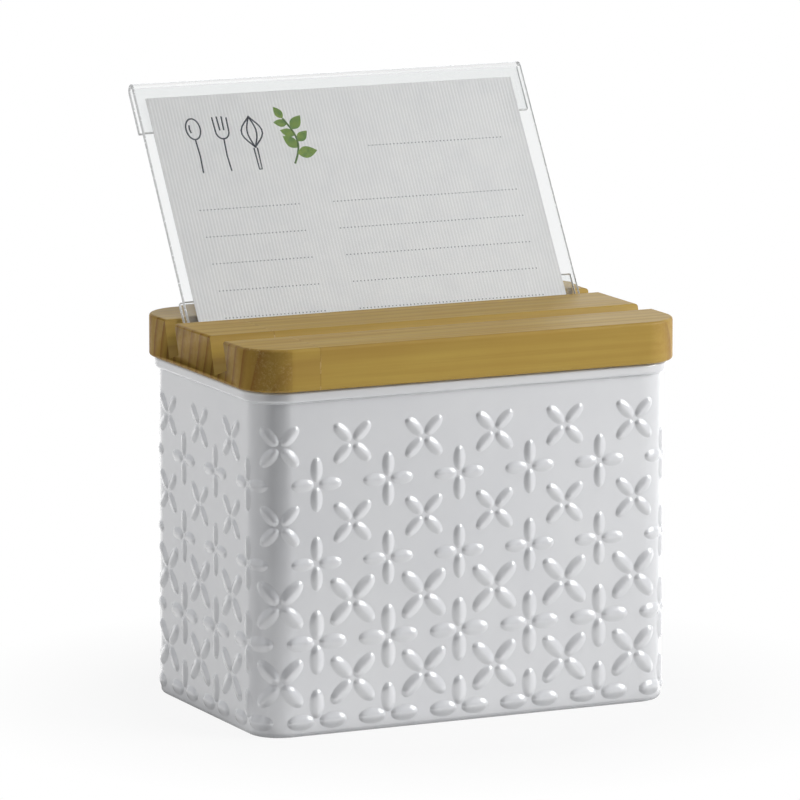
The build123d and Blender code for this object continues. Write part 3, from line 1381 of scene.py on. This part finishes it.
        open_by = rule.times(side, given["Spread"], stray, rule.minus(1.0, last))
        along = rule.split(spots["Tangent"])
        heading = rule.plus(rule.maths("ARCTAN2", along[1], along[0]), open_by)
        turn = rule.out("CombineXYZ", {"Z": heading})
        ageing = rule.maths("DIVIDE", number, given["Leaves"])
        size = rule.times(stray, rule.between(ageing, 0.0, 1.0, 1.0, 0.72))
        leaves = {"Points": spots["Points"], "Instance": leaf, "Rotation": turn, "Scale": size}
        return self.lay(rule, rule.out("GeometryNodeInstanceOnPoints", leaves))

    def dot_rule(self) -> Rule:
        """Make the tree that sets a round dot of ink on each point it is given.

        Returns:
            The tree.
        """
        rule = self.rule("ink_dots", Radius="Float")
        dot = {"Vertices": 10, "Radius": rule.given["Radius"], "Depth": rule.given["Ink"]}
        dot = rule.out("GeometryNodeMeshCylinder", dot)
        dots = {"Points": rule.given["Geometry"], "Instance": dot}
        return self.lay(rule, rule.out("GeometryNodeInstanceOnPoints", dots))

    def dots(self) -> list[Point]:
        """Space the dots along every rule.

        Returns:
            Where they go.
        """
        found = []
        for rules in self.rules:
            for row in range(rules.rows):
                across = np.arange(0.0, rules.length, self.dot_pitch)
                found += [(rules.left + x, rules.top - row * rules.pitch) for x in across]
        return found

    def build(self) -> list[Piece]:
        """Print the card.

        Returns:
            The printed pieces.
        """
        dark = Ink("dark_line_ink", tone(34, 40, 50), tone(52, 58, 68)).build()
        green = Ink("leaf_green_ink", tone(84, 124, 38), tone(134, 160, 48)).build()
        stalk = Ink("stem_green_ink", tone(66, 98, 36), tone(90, 122, 44)).build()
        grey = Ink("rule_grey_ink", tone(104, 106, 110), tone(130, 132, 136)).build()
        x, y = self.sprig_foot
        stem = [(x + 3.2 * math.sin(0.16 * d), y + 0.9 * d) for d in np.linspace(0, 21, 15)]
        tools = self.spoon(self.spoon_at) + self.fork(self.fork_at) + self.whisk(self.whisk_at)
        common = self.laid()
        ribbons, leaves, dots = self.ribbon_rule(), self.leaf_rule(), self.dot_rule()
        lines = self.strokes(PrintKind.LINES, tools)
        ribbons.run(lines, Width=self.line_width * MM, Material=dark, **common)
        stalks = self.strokes(PrintKind.STEM, [stem])
        ribbons.run(stalks, Width=self.stem_width * MM, Material=stalk, **common)
        leafy = self.strokes(PrintKind.LEAVES, [stem[self.first_leaf :]])
        leaves.run(
            leafy,
            Leaves=self.leaves,
            Length=self.leaf_length * MM,
            Spread=self.leaf_spread,
            Seed=self.leaf_seed,
            Material=green,
            **common,
        )
        dotted = self.piece(PrintKind.DOTS, self.dots(), [])
        dots.run(dotted, Radius=self.dot * MM, Material=grey, **common)
        pieces = [lines, stalks, leafy, dotted]
        for piece in pieces:
            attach(piece, "shown_card")
        return pieces


@dataclass
class CardStand:
    """The clear holder and the card it shows."""

    length: float = 162.0
    height: float = 110.1
    sheet: float = 1.8
    channel: float = 2.0
    bottom_flange: float = 21.2
    top_flange: float = 19.8
    edge: float = 0.22
    bend_steps: int = 16
    face_steps: int = 4
    ring_places: tuple[float, ...] = (-54, -27, 0, 27, 54)
    card_width: float = 152.4
    card_height: float = 101.6
    card_thickness: float = 0.4
    card_edge: float = 0.06
    card_seat: float = -0.7
    leaning: Leaning = Leaning(18.303, 135.254, 32.0)

    def path(self) -> list[Station]:
        """Return the bent sheet's middle line from the lower flange to the upper one.

        Returns:
            How far back and up each station is, and the direction to its outer side.
        """
        reach = (self.channel + self.sheet) / 2
        foot = -(self.channel / 2 + self.sheet)
        top = self.height - self.channel - 2 * self.sheet
        steps = self.face_steps
        return [
            (reach, foot + self.bottom_flange, 1.0, 0.0),
            *arc(0, 0, reach, 0, -180, self.bend_steps, 1),
            *((-reach, top * k / steps, -1.0, 0.0) for k in range(1, steps)),
            *arc(0, top, reach, 180, 0, self.bend_steps, 1),
            (reach, foot + self.height - self.top_flange, 1.0, 0.0),
        ]

    def section(self, line: list[Station], shrink: float) -> list[Point]:
        """Return the sheet's outline as points back and up, its two cut ends eased.

        Args:
            line: The sheet's middle line.
            shrink: How far the outline is drawn in on every side.

        Returns:
            The outer side, the far end's lip, the inner side back and the near end's lip.
        """
        reach = self.sheet / 2 - shrink
        outer, inner = (
            [(b + side * reach * nb, u + side * reach * nu) for b, u, nb, nu in line]
            for side in (1, -1)
        )
        lip = reach - self.edge
        lips = []
        for end, way in ((0, -1), (-1, 1)):
            back, cut = line[end][0], line[end][1] + way * shrink
            for side in (outer, inner):
                side[end] = (side[end][0], cut + way * self.edge)
            lips.append([(back - lip, cut), (back + lip, cut)])
        return outer + lips[1][::-1] + inner[::-1] + lips[0]

    def holder(self, acrylic: Material, edge: Material) -> Piece:
        """Make the bent sheet with its cut edges eased.

        Args:
            acrylic: Its finish.
            edge: The finish of its cut edges.

        Returns:
            The holder.
        """
        line, end = self.path(), self.length / 2
        middle = [(x, 0.0) for x in (self.edge - end, *self.ring_places, end - self.edge)]
        rings = [(-end, self.edge), *middle, (end, self.edge)]
        points = []
        for x, shrink in rings:
            points += [self.leaning.place(x, b, u) for b, u in self.section(line, shrink)]
        count = len(line)
        size, last, near, far = 2 * count + 4, 2 * count + 1, 0, len(rings) - 1
        faces, slots = tube(len(rings), size), []
        for ring in range(far):
            for k in range(size):
                cut = count - 1 <= k <= count + 1 or k >= last or ring in (near, far - 1)
                slots.append(1 if cut else 0)
        caps = [(k, k + 1, last - k - 1, last - k) for k in range(count - 1)]
        caps += [(count - 1, count, count + 1, count + 2), (last, last + 1, last + 2, 0)]
        faces += [cap[::-1] for cap in caps]
        faces += [tuple(far * size + c for c in cap) for cap in caps]
        slots += [1] * 2 * len(caps)
        return closed_piece("clear_holder", points, faces, [acrylic, edge], slots)

    def card(self, paper: Material) -> Piece:
        """Make the card's sheet, its edges eased by a hair.

        Args:
            paper: Its finish.

        Returns:
            The card.
        """
        half, thin, ease = self.card_width / 2, self.card_thickness / 2, self.card_edge
        low, high = self.card_seat, self.card_seat + self.card_height
        points = []
        for back, shrink in ((-thin, ease), (ease - thin, 0.0), (thin - ease, 0.0), (thin, ease)):
            side, foot, head = half - shrink, low + shrink, high - shrink
            for x, up in ((-side, foot), (side, foot), (side, head), (-side, head)):
                points.append(self.leaning.place(x, back, up))
        faces = [*tube(4, 4), (0, 1, 2, 3), (12, 15, 14, 13)]
        return closed_piece("shown_card_sheet", points, faces, [paper])

    def build(self) -> list[Piece]:
        """Make and dress the holder and its card.

        Returns:
            The pieces.
        """
        holder = self.holder(Acrylic().build(), CutEdge().build())
        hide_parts("card_holder")
        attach(holder, "holder")
        paper = Paper("ribbed_paper", tone(246, 244, 243), tone(234, 233, 234), rib_pitch=1.35)
        card = self.card(paper.build())
        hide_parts("display_card")
        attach(card, "shown_card")
        return [holder, card] + CardPrint(self.leaning).build()


@dataclass
class CardFile:
    """The packs filed in the box: a tabbed divider and its cards, eight times over."""

    packs: int = 8
    rule_pitch: float = 6.35
    lean: float = 8.0

    def build(self) -> list[Piece]:
        """Dress the packs.

        Returns:
            Their pieces.
        """
        kraft = Paper("kraft_divider", tone(196, 170, 132), tone(178, 150, 112)).build()
        light, shade = tone(240, 239, 234), tone(228, 227, 221)
        ruled = {"rule_pitch": self.rule_pitch, "lean": self.lean}
        plain = Paper("ruled_card", light, shade, **ruled).build()
        pieces = []
        for number in range(1, self.packs + 1):
            pieces += [dress(f"divider_{number}", kraft), dress(f"cards_{number}", plain)]
        return pieces


def towards(azimuth: float, elevation: float = 0.0) -> Vector:
    """Return the direction from the object to something at these angles."""
    a, e = math.radians(azimuth), math.radians(elevation)
    return Vector((math.sin(a) * math.cos(e), -math.cos(a) * math.cos(e), math.sin(e)))


def straight(tree: Tree, paths: Sequence[Socket], mirrored: bool) -> Socket:
    """Tell which rays see a backdrop as the camera does, as against those that it lights.

    Args:
        tree: The tree to add nodes to.
        paths: The Light Path node's outputs.
        mirrored: Whether rays off a glossy surface count.

    Returns:
        A socket that is 1 for such rays and 0 for all that have met a dull surface.
    """
    through = paths["Is Transmission Ray"]
    if mirrored:
        through = tree.maths("MAXIMUM", through, paths["Is Glossy Ray"])
    through = tree.times(through, tree.maths("LESS_THAN", paths["Diffuse Depth"], 0.5))
    return tree.maths("MAXIMUM", through, paths["Is Camera Ray"])


@dataclass(frozen=True)
class Lamp:
    """One soft rectangular lamp that faces the object: its place, size and power.

    The angles give its direction from the object; away and size are in metres.
    """

    name: str
    azimuth: float
    elevation: float
    away: float
    size: Point
    watts: float
    target: Place = (0.0, 0.0, 0.08)

    def build(self) -> None:
        """Add the lamp, which glass doesn't show."""
        data = bpy.data.lights.new(self.name, "AREA")
        data.shape, data.energy = "RECTANGLE", self.watts
        data.size, data.size_y = self.size
        made = linked(self.name, data)
        direction = towards(self.azimuth, self.elevation)
        made.location = Vector(self.target) + direction * self.away
        made.rotation_mode = "QUATERNION"
        made.rotation_quaternion = direction.to_track_quat("Z", "Y")
        made.visible_transmission = False


@dataclass
class Studio:
    """The camera, the pale floor and the soft lights, and what the enamel mirrors of them.

    A fade says between which two values of what it follows a strength goes from one to
    another. Glow is what is mirrored, and lit is what lights.
    """

    azimuth: float = -25.34
    elevation: float = 9.869
    distance: float = 2.640
    lens: float = 318.65
    sensor: float = 36.0
    clip: Point = (0.05, 50.0)
    aim: Place = (-0.004318, 0.0, 0.112441)
    box: Point = (0.1682, 0.102)
    floor_reach: float = 12.0
    front: float = -22.0
    lit_ahead: Fade = (0.0, 0.9, 0.2, 0.03)
    glow_ahead: Fade = (0.55, 0.95, 3.0, 0.05)
    glow_above: Fade = (0.4, 0.75, 1.0, 0.12)
    glow_behind: Fade = (-0.95, -0.6, 0.8, 1.0)
    left: float = -140.0
    glow_left: Fade = (0.2, 0.6, 1.0, 0.4)
    right: float = 100.0
    glow_right: Fade = (0.5, 0.9, 1.0, 0.58)
    floor_front: float = -28.0
    # Painted light: these fades set how brightly, up to 3.7 times white, the floor glows in what the enamel
    # mirrors, 3.3 near the box.
    floor_glow_ahead: Fade = (0.5, 0.95, 3.7, 0.0)
    floor_glow_near: tuple[float, float, float] = (0.12, 0.55, 3.3)
    # Painted contact shadow: the floor's glow, as the enamel mirrors it, falls to a fifth at the box's
    # outline and recovers 15 mm out.
    floor_painted_contact_shadow: Fade = (0.0, 0.015, 0.2, 1.0)
    floor_shade: Fade = (0.1, 0.18, 0.9, 1.0)
    lamps: tuple[Lamp, ...] = (
        Lamp("key_right", 53.0, 25.0, 1.5, (0.8, 0.7), 14.8),
        Lamp("glint", 70.0, 26.0, 1.5, (0.2, 0.2), 0.8),
        Lamp("fill_left", -97.0, 17.0, 1.4, (1.5, 1.3), 4.7),
        Lamp("top", 10.0, 80.0, 1.3, (1.0, 0.7), 2.8),
        Lamp("back", 215.0, 35.0, 1.6, (1.2, 1.0), 3.0),
    )

    def along(self, tree: Tree, way: Socket, azimuth: float) -> Socket:
        """Return how far a direction points to one azimuth, from -1 to 1."""
        inputs = {0: way, 1: tuple(towards(azimuth))}
        return tree.add("VectorMath", inputs, operation="DOT_PRODUCT").outputs["Value"]

    def sides(self, tree: Tree, way: Socket) -> Socket:
        """Dim what is mirrored towards either side.

        Args:
            tree: The tree to add nodes to.
            way: The direction looked in.

        Returns:
            The share of the glow that is left.
        """
        left = tree.between(self.along(tree, way, self.left), *self.glow_left)
        right = tree.between(self.along(tree, way, self.right), *self.glow_right)
        return tree.times(left, right)

    def camera(self) -> None:
        """Make the camera and set it as the scene's own."""
        data = bpy.data.cameras.new("camera")
        data.sensor_width, data.lens = self.sensor, self.lens
        data.clip_start, data.clip_end = self.clip
        made = linked("camera", data)
        back = towards(self.azimuth, self.elevation)
        made.location = Vector(self.aim) + back * self.distance
        made.rotation_mode = "QUATERNION"
        made.rotation_quaternion = (-back).to_track_quat("-Z", "Y")
        bpy.context.scene.camera = made

    def world(self) -> None:
        """Set a soft surround that is white to the camera and dim straight in front."""
        world = bpy.data.worlds.new("studio")
        world.use_nodes = True
        bpy.context.scene.world = world
        world.node_tree.nodes.clear()
        tree = Tree(world.node_tree)
        paths = tree.add("LightPath").outputs
        way = tree.add("TexCoord").outputs["Generated"]
        facing = self.along(tree, way, self.front)
        mirrored = tree.times(
            tree.between(facing, *self.glow_ahead),
            self.sides(tree, way),
            tree.between(tree.split(way)[2], *self.glow_above),
            tree.between(facing, *self.glow_behind),
        )
        dim = tree.between(facing, *self.lit_ahead)
        strength = tree.out("Mix", {0: paths["Is Glossy Ray"], 2: dim, 3: mirrored})
        dull = tree.maths("GREATER_THAN", paths["Diffuse Depth"], 0.5)
        behind_glass = tree.times(paths["Is Transmission Ray"], dull)
        strength = tree.times(strength, tree.minus(1.0, behind_glass))
        soft = {"Color": tone(250, 252, 255), "Strength": strength}
        soft = tree.out("Background", soft)
        white = tree.out("Background", {"Color": WHITE, "Strength": 1.0})
        seen = straight(tree, paths, False)
        mixed = tree.out("MixShader", {0: seen, 1: soft, 2: white})
        tree.add("OutputWorld", {"Surface": mixed})

    def floor(self) -> None:
        """Lay a wide pale floor that fades to white away from the object, and that glows as painted light,
        brighter than white, in what the enamel mirrors of it.
        """
        shader = Shader("pale_floor")
        paths = shader.add("LightPath").outputs
        place = {0: shader.place}
        far = shader.add("VectorMath", place, operation="LENGTH").outputs["Value"]
        way = shader.out("VectorMath", place, operation="NORMALIZE")
        facing = self.along(shader, way, self.floor_front)
        # Painted light: what the enamel mirrors of the floor glows brighter than white.
        mirrored = shader.between(facing, *self.floor_glow_ahead)
        beyond = [
            shader.minus(shader.maths("ABSOLUTE", part), size / 2)
            for part, size in zip(shader.split(shader.place), self.box)
        ]
        mirrored = shader.times(
            shader.between(far, *self.floor_glow_near, mirrored),
            # Painted contact shadow in the mirrored glow right beside the box.
            shader.between(shader.maths("MAXIMUM", *beyond), *self.floor_painted_contact_shadow),
            self.sides(shader, way),
        )
        bounced = shader.minus(paths["Is Glossy Ray"], paths["Is Transmission Ray"])
        strength = shader.out("Mix", {0: bounced, 2: 1.0, 3: mirrored})
        glow = shader.out("Emission", {"Color": WHITE, "Strength": strength})
        plain = shader.out("BsdfDiffuse", {"Color": tone(212, 212, 212)})
        shade = shader.between(far, *self.floor_shade)
        shade = shader.maths("MAXIMUM", shade, paths["Is Glossy Ray"])
        seen = shader.times(straight(shader, paths, True), shade)
        shader.show(shader.out("MixShader", {0: seen, 1: plain, 2: glow}))
        r = self.floor_reach
        corners = [(-r, -r, 0), (r, -r, 0), (r, r, 0), (-r, r, 0)]
        piece = new_piece("floor", corners, [(0, 1, 2, 3)], [shader.material])

    def build(self) -> None:
        """Set the stage."""
        self.camera()
        self.world()
        self.floor()
        for lamp in self.lamps:
            lamp.build()
        bpy.context.scene.view_settings.view_transform = "Standard"


def main() -> None:
    """Build each part in order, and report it."""
    logging.basicConfig(level=logging.INFO, format="%(name)s: %(message)s")
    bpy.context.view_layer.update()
    Studio().build()
    for part in (SteelBox(), Lid(), CardStand(), CardFile()):
        for piece in part.build():
            LOG.info("%s: %s, %d faces", type(part).__name__, piece.name, len(piece.data.polygons))


if __name__ == "__main__":
    main()
